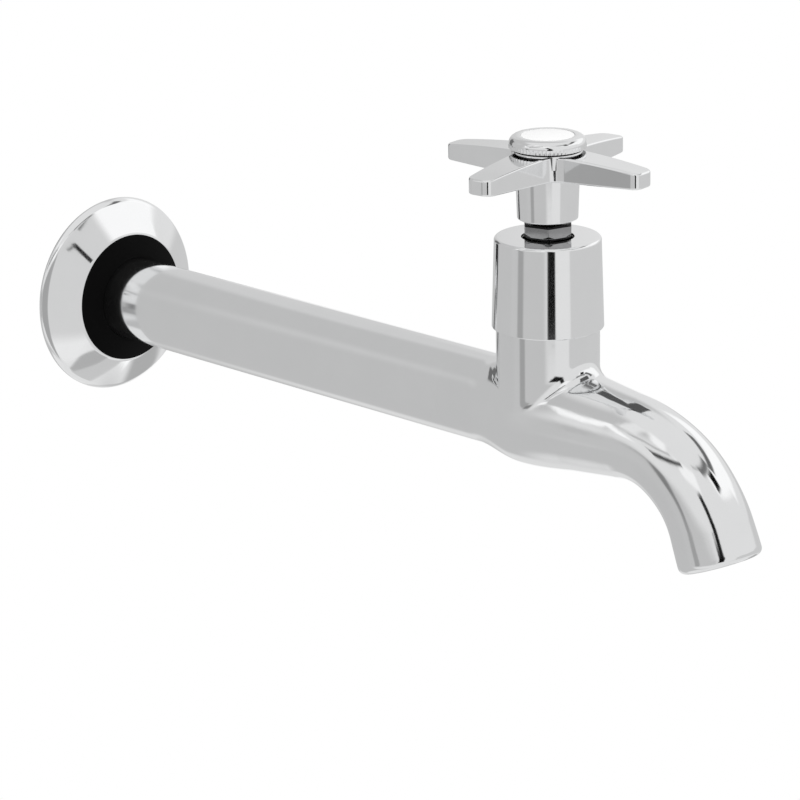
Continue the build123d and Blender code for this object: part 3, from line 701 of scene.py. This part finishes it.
starHandle = {
    "foot": 64.3, "top": 71.15, "reach": 30.4, "rootWidth": 11.6, "tipWidth": 7.2, "tipDrop": 1.9,
    "tipRise": 0.8, "turn": 7.5, "tipsBeyond": 20.0, "tipRound": 2.3, "rootsWithin": 9.0, "rootRound": 3.5,
    "armStep": 2.4, "stepsEnd": 27.6, "hardAngle": 40, "edge": 0.55, "bossRadius": 9.1, "bossFoot": 67.65,
    "bossTop": 71.3, "bossEdge": 0.2, "skirtFoot": 53.05, "skirtFootRadius": 7.9, "skirtTopRadius": 8.3,
    "skirtEdge": 0.4, "bore": 4.1, "shoulder": 54.5, "socket": 5.3, "socketMiddle": 60.0,
    "socketLength": 14.0, "capBore": 6.0, "capFloor": 66.5,
}


def drawStar(bm, values):
    # the outline of the four arms, raised to their height
    root, tip, reach = values["rootWidth"] / 2, values["tipWidth"] / 2, values["reach"]
    crotch = root / (1 + (root - tip) / reach)
    verts = []
    for arm in range(4):
        turn = Matrix.Rotation(math.radians(90 * arm), 3, "Z")
        for x, y in ((reach, -tip), (reach, tip), (crotch, crotch)):
            verts.append(bm.verts.new(turn @ Vector((x * mm, y * mm, values["foot"] * mm))))
    bm.faces.new(verts)
    for least, most, size in ((values["tipsBeyond"], math.inf, values["tipRound"]),
                              (0, values["rootsWithin"], values["rootRound"])):
        chosen = [vert for vert in bm.verts if least * mm < vert.co.xy.length < most * mm]
        roundOff(bm, chosen, size, segments=8)
    raised = bmesh.ops.extrude_face_region(bm, geom=bm.faces[:])
    bmesh.ops.translate(bm, verts=[item for item in raised["geom"] if isinstance(item, bmesh.types.BMVert)],
                        vec=(0, 0, (values["top"] - values["foot"]) * mm))


def buildStar(values):
    bm = bmesh.new()
    drawStar(bm, values)
    # the arms are split in steps along their length, then the upper side is domed and the lower lifted
    for arm in range(4):
        outward = Matrix.Rotation(math.radians(90 * arm), 3, "Z") @ barrelAxis
        for along in np.arange(values["bossRadius"], values["stepsEnd"], values["armStep"]):
            cutAcross(bm, outward * float(along), outward)
    dome = (values["reach"] ** 2 + values["tipDrop"] ** 2) / (2 * values["tipDrop"])
    skirt = values["skirtTopRadius"]
    lift = values["tipRise"] / (values["reach"] - skirt)
    for vert in bm.verts:
        along = vert.co.xy.length / mm
        if vert.co.z > (values["top"] - close) * mm:
            vert.co.z -= (dome - math.sqrt(dome ** 2 - along ** 2)) * mm
        elif along > skirt:
            vert.co.z += (along - skirt) * lift * mm
    bmesh.ops.recalc_face_normals(bm, faces=bm.faces)
    hardAngle = math.radians(values["hardAngle"])
    hard = [edge for edge in bm.edges if edge.is_manifold and edge.calc_face_angle() > hardAngle]
    roundOff(bm, hard, values["edge"], segments=5, affect="EDGES", clamp=True)
    turn = Matrix.Rotation(math.radians(values["turn"]), 4, "Z")
    bmesh.ops.transform(bm, verts=bm.verts, matrix=onSpindle(0) @ turn)
    star = makeObject("starHandle", bm)
    skirtFoot, bossFoot, bossTop, boss = (
        values[key] for key in ("skirtFoot", "bossFoot", "bossTop", "bossRadius"))
    combine(star, "UNION", makeObject("starSkirt", turned([
        (skirtFoot, 0, 0), (skirtFoot, values["skirtFootRadius"], values["skirtEdge"]),
        (values["foot"] + close, skirt, 0), (bossFoot, skirt, 0), (bossFoot, boss, 0),
        (bossTop, boss, values["bossEdge"]), (bossTop, 0, 0)], spindleAxis)))
    # the round bore below, the threaded socket for the cap and the square socket
    low, shoulder, bore = skirtFoot - past, values["shoulder"], values["bore"]
    floor, high, capBore = values["capFloor"], bossTop + past, values["capBore"]
    bm = bmesh.new()
    wide, long = values["socket"] * mm, values["socketLength"] * mm
    bmesh.ops.create_cube(bm, size=1, matrix=onSpindle(values["socketMiddle"]) @ turn
                          @ Matrix.Diagonal((wide, wide, long, 1)))
    combine(star, "DIFFERENCE",
            plainTurning("starBore", [(low, 0), (low, bore), (shoulder, bore), (shoulder, 0)]),
            plainTurning("capSocket", [(floor, 0), (floor, capBore), (high, capBore), (high, 0)]),
            makeObject("squareSocket", bm), creaseAngle=30)
    return star


starPiece = buildStar(starHandle)
dress(starPiece, "handle", handleChrome, "star_handle")
evenNormals(starPiece)

# screw cap with its knurled band, and the bare inlay

screwCap = {
    "seat": 71.3, "foot": 71.8, "top": 75.0, "radius": 10.0, "seatRadius": 8.2, "crownRound": 1.9,
    "inlayRadius": 7.0, "inlayDepth": 0.4, "inlayEdge": 0.12, "stemFoot": 68.0, "stemRadius": 5.95,
    "stemEdge": 0.2, "hollow": 4.2, "hollowTop": 70.0, "grooves": 60, "grooveSteps": 4, "knurlDepth": 0.22,
    "knurlTop": 73.0, "knurlRows": 4,
}


def buildCap(values):
    foot, top, radius, stem = values["foot"], values["top"], values["radius"], values["stemRadius"]
    floor, recess = top - values["inlayDepth"], values["inlayRadius"]
    band = [(z, radius, 0) for z in np.linspace(foot, values["knurlTop"], values["knurlRows"]).tolist()]
    bm = turned([
        (values["hollowTop"], 0, 0), (values["hollowTop"], values["hollow"], 0),
        (values["stemFoot"], values["hollow"], 0), (values["stemFoot"], stem, values["stemEdge"]),
        (values["seat"], stem, 0), (values["seat"], values["seatRadius"], 0), (foot, values["seatRadius"], 0),
        *band, (top, radius, values["crownRound"]), (top, recess, values["inlayEdge"]), (floor, recess, 0),
        (floor, 0, 0)], spindleAxis, steps=values["grooves"] * values["grooveSteps"])
    # the knurls are pressed into the band
    for vert in bm.verts:
        x, y, z = vert.co.x / mm - spindleX, vert.co.y / mm, vert.co.z / mm
        reach = math.hypot(x, y)
        if abs(reach - radius) > close or z > values["knurlTop"] - close:
            continue
        phase = (math.atan2(y, x) / (2 * math.pi) * values["grooves"]) % 1
        press = values["knurlDepth"] * (1 - abs(2 * phase - 1))
        vert.co.x -= x / reach * press * mm
        vert.co.y -= y / reach * press * mm
    return makeObject("screwCap", bm, creaseAngle=50)


dress(buildCap(screwCap), "handle", handleChrome, "index_button")

inlay = {"foot": 74.6, "top": 74.95, "radius": 6.93, "edge": 0.12}
inlayDisc = makeObject("capInlay", turned([
    (inlay["foot"], 0, 0), (inlay["foot"], inlay["radius"], 0),
    (inlay["top"], inlay["radius"], inlay["edge"]), (inlay["top"], 0, 0)], spindleAxis), creaseAngle=40)
dress(inlayDisc, "handle", whiteInlay, "button_inlay")

# pieces inside, which keep their solids

innerFinishes = {
    "seat_ring": bareBrass, "jumper": bareBrass, "jumper_nut": bareBrass, "headwork_body": brassWithPaintedShade,
    "gland_washer": bareBrass, "spindle": brassWithPaintedShade, "handle_screw": turnedSteel,
    "handle_lock_washer": turnedSteel, "jumper_washer": blackRubber, "shroud_ring": blackRubber,
    "gland_packing": greyPacking, "headwork_washer": redFibre,
}
for nodeName, material in innerFinishes.items():
    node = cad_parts[nodeName]
    node.data.materials.clear()
    node.data.materials.append(material)
print("inner pieces finished")

# studio

studio = {
    "floorZ": -1.3, "floorSize": 8.0, "floorMiddle": 0.12, "worldDiffuse": 0.75, "paper": 0.9,
    "paperRoughness": 0.9,
}


def seenDirectly(tree):
    # one where the camera, gloss or glass looks, nothing for plain light
    rays = addNode(tree, "ShaderNodeLightPath", {}).outputs
    either = workOut(tree, "MAXIMUM", rays["Is Camera Ray"], rays["Is Glossy Ray"])
    return workOut(tree, "MAXIMUM", either, rays["Is Transmission Ray"])


def buildWorld(values):
    # white where the camera, gloss and glass look past the object, plain light elsewhere
    world = bpy.data.worlds.new("studioWorld")
    scene.world = world
    world.use_nodes = True
    tree = world.node_tree
    strength = addNode(tree, "ShaderNodeMapRange", {
        "Value": seenDirectly(tree), "To Min": values["worldDiffuse"]})
    feed(tree, tree.nodes["Background"], {"Color": (1, 1, 1, 1), "Strength": strength.outputs["Result"]})


def buildFloor(values):
    bm = bmesh.new()
    bmesh.ops.create_grid(bm, x_segments=1, y_segments=1, size=values["floorSize"] / 2,
                          matrix=Matrix.Translation((values["floorMiddle"], 0, values["floorZ"])))
    floor = makeObject("paperFloor", bm)
    material, tree = newMaterial("paperWhite")
    shader = tree.nodes["Principled BSDF"]
    feed(tree, shader, {"Base Color": (values["paper"],) * 3 + (1,), "Roughness": values["paperRoughness"]})
    glow = addNode(tree, "ShaderNodeEmission", {})
    mix = addNode(tree, "ShaderNodeMixShader", {
        "Fac": seenDirectly(tree), 1: shader.outputs["BSDF"], 2: glow.outputs["Emission"]})
    feed(tree, tree.nodes["Material Output"], {"Surface": mix.outputs["Shader"]})
    floor.data.materials.append(material)


# what the chrome mirrors: a light tent with panels, and cards close by

def paint(bm, layerName, shades):
    layer = bm.verts.layers.float_color.new(layerName)
    for vert, shade in zip(bm.verts, shades.tolist()):
        vert[layer] = (shade, shade, shade, 1)


def hangUp(name, bm, material):
    # a studio thing that is seen only in reflections
    mesh = bpy.data.meshes.new(name)
    bm.to_mesh(mesh)
    bm.free()
    mesh.materials.append(material)
    piece = bpy.data.objects.new(name, mesh)
    scene.collection.objects.link(piece)
    piece.visible_camera = False
    piece.visible_diffuse = False
    piece.visible_shadow = False
    piece.visible_transmission = False


tent = {"centre": (0.19, 0.0, 0.03), "radius": 1.2, "tone": 0.77, "segments": 240, "rings": 120}

# each panel of the tent: azimuth and elevation of its middle, half its width and height, how far its edge is
# feathered, its tilt, all in degrees, and its brightness
panels = {
    "wallSide": (-171, -4, 48, 60, 14, 0, 0.535),
    "wallBright": (-150, 29, 8, 5, 14, 40, 0.60),
    "wallFar": (144, 14, 9, 24, 9, -12, 0.64),
    "farEdge": (132, -20, 9, 18, 7, 0, 0.95),
    "wallFoot": (-150, -66, 70, 9, 9, 0, 0.80),
    "farFoot": (152, -46, 16, 12, 14, 0, 0.74),
    "leftWindow": (-115, 47, 6, 12, 5, 0, 0.82),
    "leftSliver": (-118.5, 25, 2.4, 9, 2.5, 38, 1.02),
    "highLeft": (-94, 53, 9, 8, 7, 0, 0.95),
    "nearWindow": (-58, 42, 16, 8, 6, 0, 0.95),
    "farWindow": (84, 27, 26, 11, 7, 0, 1.02),
    "flangeWindow": (52, 36, 40, 11, 7, -16, 1.02),
    "lowFar": (60, -16, 66, 15, 5, 0, 0.61),
    "front": (-20, -14, 20, 14, 4, 0, 0.77),
    "frontLeft": (-90, -10, 38, 16, 14, 0, 0.55),
    "leftShade": (-106, -14, 6.5, 7, 4, 0, 0.36),
    "leftShadeTop": (-110, -2, 4.5, 6, 4, 0, 0.22),
    "wallShade": (175, 6, 11, 17, 5, 0, 0.15),
    "darkScreen": (-40, -2.1, 8, 13.1, 1.5, 0, 0.004),
    "darkScreenTop": (-44.5, 21, 4.4, 13, 2, 32, 0.006),
    "rail": (-88, 36, 23, 2.2, 1.8, 33, 0.03),
    "railTop": (-99.5, 38.5, 18, 1.4, 1.5, 33, 0.45),
    "railArch": (-20, 56, 14, 1.4, 1.5, 0, 0.5),
    "overheadShade": (14, 54.5, 26, 3.5, 5, 0, 0.16),
    "lampArm": (62, 47.5, 26, 4.2, 3, 2, 0.14),
    "lampStand": (22, 44, 9, 6, 3, 0, 0.003),
    "farLow": (95, -44, 22, 9, 5, 0, 0.43),
    "farHook": (81, -53, 7, 6, 2, 19, 1.08),
}


def panelCover(azimuth, elevation, panel):
    # how much of a panel lies in each direction, from none to all
    middle, height, halfWidth, halfHeight, feather, tilt = panel[:6]
    across = (azimuth - middle + 180) % 360 - 180
    across *= np.cos(np.radians(elevation)) / math.cos(math.radians(height))
    up = elevation - height
    turn = math.radians(tilt)
    sideways = abs(across * math.cos(turn) + up * math.sin(turn))
    upright = abs(up * math.cos(turn) - across * math.sin(turn))
    return (ease(halfWidth - sideways, -feather / 2, feather / 2)
            * ease(halfHeight - upright, -feather / 2, feather / 2))


def buildTent(values, panels):
    # a light tent whose panels are seen only in reflections
    bm = bmesh.new()
    bmesh.ops.create_uvsphere(bm, u_segments=values["segments"], v_segments=values["rings"],
                              radius=values["radius"])
    places = np.array([vert.co for vert in bm.verts])
    azimuth = np.degrees(np.arctan2(places[:, 1], places[:, 0]))
    elevation = np.degrees(np.arcsin(np.clip(places[:, 2] / values["radius"], -1, 1)))
    tones = np.full(len(places), values["tone"])
    for panel in panels.values():
        tones += (panel[6] - tones) * panelCover(azimuth, elevation, panel)
    paint(bm, "tone", tones)
    bmesh.ops.translate(bm, verts=bm.verts, vec=values["centre"])
    bmesh.ops.reverse_faces(bm, faces=bm.faces)
    for face in bm.faces:
        face.smooth = True
    material, tree = newMaterial("tentCloth")
    painted = addNode(tree, "ShaderNodeVertexColor", {}, layer_name="tone")
    glow = addNode(tree, "ShaderNodeEmission", {"Color": painted.outputs["Color"]})
    feed(tree, tree.nodes["Material Output"], {"Surface": glow.outputs["Emission"]})
    hangUp("lightTent", bm, material)


# the cards, nine before the flange and one over the spout's root, facing the wall if not told otherwise: the
# middle in metres, size, corner rounding and feather in millimetres, brightness, and roll in degrees
cards = {
    "cardMark": {
        "centre": (0.048, -0.0189, 0.0367), "size": (4.2, 15.5), "round": 0.6, "feather": 0.5, "tone": 0.01,
        "roll": -20},
    "cardMarkArm": {
        "centre": (0.0481, -0.0245, 0.0405), "size": (8.5, 2), "round": 0.5, "feather": 0.5, "tone": 0.12,
        "roll": -30},
    "cardDash": {
        "centre": (0.048, -0.001, 0.0615), "size": (26, 2), "round": 0.5, "feather": 0.5, "tone": 0.12,
        "roll": -34.6},
    "cardBright": {
        "centre": (0.049, 0.087, 0.066), "size": (162, 66), "round": 12, "feather": 12, "tone": 1.0},
    "cardFoot": {
        "centre": (0.0492, -0.002, -0.084), "size": (40, 36), "round": 10, "feather": 4, "tone": 0.44},
    "cardLow": {
        "centre": (0.0494, -0.036, -0.062), "size": (60, 56), "round": 20, "feather": 20, "tone": 0.85},
    "cardUnder": {
        "centre": (0.0496, 0.041, -0.122), "size": (132, 64), "round": 6, "feather": 4, "tone": 0.58},
    "cardRim": {
        "centre": (0.0497, -0.174, -0.03), "size": (244, 184), "round": 8, "feather": 8, "tone": 0.38},
    "cardPlain": {
        "centre": (0.0498, -0.0225, 0.005), "size": (105, 135), "round": 6, "feather": 6, "tone": 0.66},
    "cardOver": {
        "centre": (0.1955, 0.007, 0.045), "size": (14, 20), "round": 2, "feather": 1.5, "tone": 0.09,
        "faces": (0, 0, -1)},
}


def addCard(name, values):
    # a softly edged card of plain brightness, seen only in reflections from the side that it faces
    bm = bmesh.new()
    width, height = values["size"]
    bmesh.ops.create_grid(bm, x_segments=48, y_segments=48, size=0.5)
    places = np.array([vert.co for vert in bm.verts])
    overX = np.maximum(0, abs(places[:, 0]) * width - width / 2 + values["round"])
    overY = np.maximum(0, abs(places[:, 1]) * height - height / 2 + values["round"])
    paint(bm, "cover", ease(values["round"] - np.hypot(overX, overY), 0, values["feather"]))
    turn = Vector(values.get("faces", (-1, 0, 0))).to_track_quat("Z", "Y").to_matrix().to_4x4()
    turn = turn @ Matrix.Rotation(math.radians(values.get("roll", 0)), 4, "Z")
    bmesh.ops.transform(bm, verts=bm.verts, matrix=Matrix.Translation(values["centre"]) @ turn
                        @ Matrix.Diagonal((width * mm, height * mm, 1, 1)))
    material, tree = newMaterial(name + "Tone")
    painted = addNode(tree, "ShaderNodeVertexColor", {}, layer_name="cover")
    side = addNode(tree, "ShaderNodeNewGeometry", {})
    glow = addNode(tree, "ShaderNodeEmission", {"Color": (values["tone"],) * 3 + (1,)})
    clear = addNode(tree, "ShaderNodeBsdfTransparent", {}).outputs["BSDF"]
    soft = addNode(tree, "ShaderNodeMixShader", {
        "Fac": painted.outputs["Color"], 1: clear, 2: glow.outputs["Emission"]})
    mix = addNode(tree, "ShaderNodeMixShader", {
        "Fac": side.outputs["Backfacing"], 1: soft.outputs["Shader"], 2: clear})
    feed(tree, tree.nodes["Material Output"], {"Surface": mix.outputs["Shader"]})
    hangUp(name, bm, material)


lamps = {
    "overheadSoftbox": {"place": (0.1, -0.3, 1.1), "aim": (0.15, 0, 0.03), "size": (1.0, 1.0), "power": 6},
    "sideSoftbox": {"place": (0.9, 0.9, 0.6), "aim": (0.15, 0, 0.03), "size": (0.6, 0.8), "power": 3},
}


def addLamp(name, values):
    data = bpy.data.lights.new(name, "AREA")
    data.shape = "RECTANGLE"
    data.size, data.size_y = values["size"]
    data.energy = values["power"]
    lamp = bpy.data.objects.new(name, data)
    scene.collection.objects.link(lamp)
    lamp.location = values["place"]
    lamp.visible_glossy = False
    lamp.rotation_mode = "QUATERNION"
    lamp.rotation_quaternion = (Vector(values["aim"]) - Vector(values["place"])).to_track_quat("-Z", "Y")


camera = {
    "place": (0.7955, -0.6619, 0.2874), "azimuth": 45.5564, "elevation": 17.3503, "roll": -0.867,
    "lens": 163.11, "sensor": 36, "nearest": 0.05, "furthest": 30,
}


def placeCamera(values):
    data = bpy.data.cameras.new("photoCamera")
    data.sensor_width = values["sensor"]
    data.lens = values["lens"]
    data.clip_start, data.clip_end = values["nearest"], values["furthest"]
    cam = bpy.data.objects.new("photoCamera", data)
    scene.collection.objects.link(cam)
    a, e, r = (math.radians(values[key]) for key in ("azimuth", "elevation", "roll"))
    back = Vector((math.sin(a) * math.cos(e), -math.cos(a) * math.cos(e), math.sin(e)))
    level = Vector((math.cos(a), math.sin(a), 0))
    up = back.cross(level)
    right = level * math.cos(r) + up * math.sin(r)
    up = back.cross(right)
    cam.matrix_world = Matrix.Translation(values["place"]) @ Matrix((right, up, back)).transposed().to_4x4()
    scene.camera = cam


buildWorld(studio)
buildFloor(studio)
placeCamera(camera)
for lampName, lampValues in lamps.items():
    addLamp(lampName, lampValues)
buildTent(tent, panels)
for cardName, cardValues in cards.items():
    addCard(cardName, cardValues)
print("studio ready")
